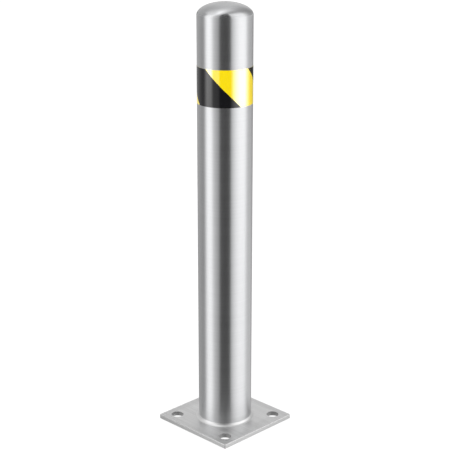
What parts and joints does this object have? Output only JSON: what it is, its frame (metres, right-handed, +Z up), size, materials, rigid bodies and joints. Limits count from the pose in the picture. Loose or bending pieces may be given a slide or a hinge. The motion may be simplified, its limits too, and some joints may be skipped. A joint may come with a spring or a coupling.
{
  "type": "safety bollard",
  "caption": "Round steel post with a shallow domed top, welded to a square bolt-down plate, with a band of yellow and black slanted reflective tape near the top.",
  "frame": {"origin": "centre of the base plate's underside, on the floor", "axes": "+Z up along the post, X and Y along the sides of the square plate"},
  "size_m": [0.2032, 0.2032, 0.9144],
  "materials": {
    "plate_steel": "satin, brushed along one side",
    "tube_steel": "satin, brushed round the tube",
    "cap_steel": "satin, spun",
    "weld_steel": "cleaned weld bead",
    "tape_yellow": "glossy reflective film",
    "tape_black": "glossy printed film"
  },
  "bodies": {
    "root": {"base_plate": "plate_steel", "post_tube": "tube_steel", "dome_cap": "cap_steel", "cap_weld": "tube_steel", "base_weld": "weld_steel", "tape_film": "tape_yellow", "tape_stripes": "tape_black"}
  },
  "joints": []
}
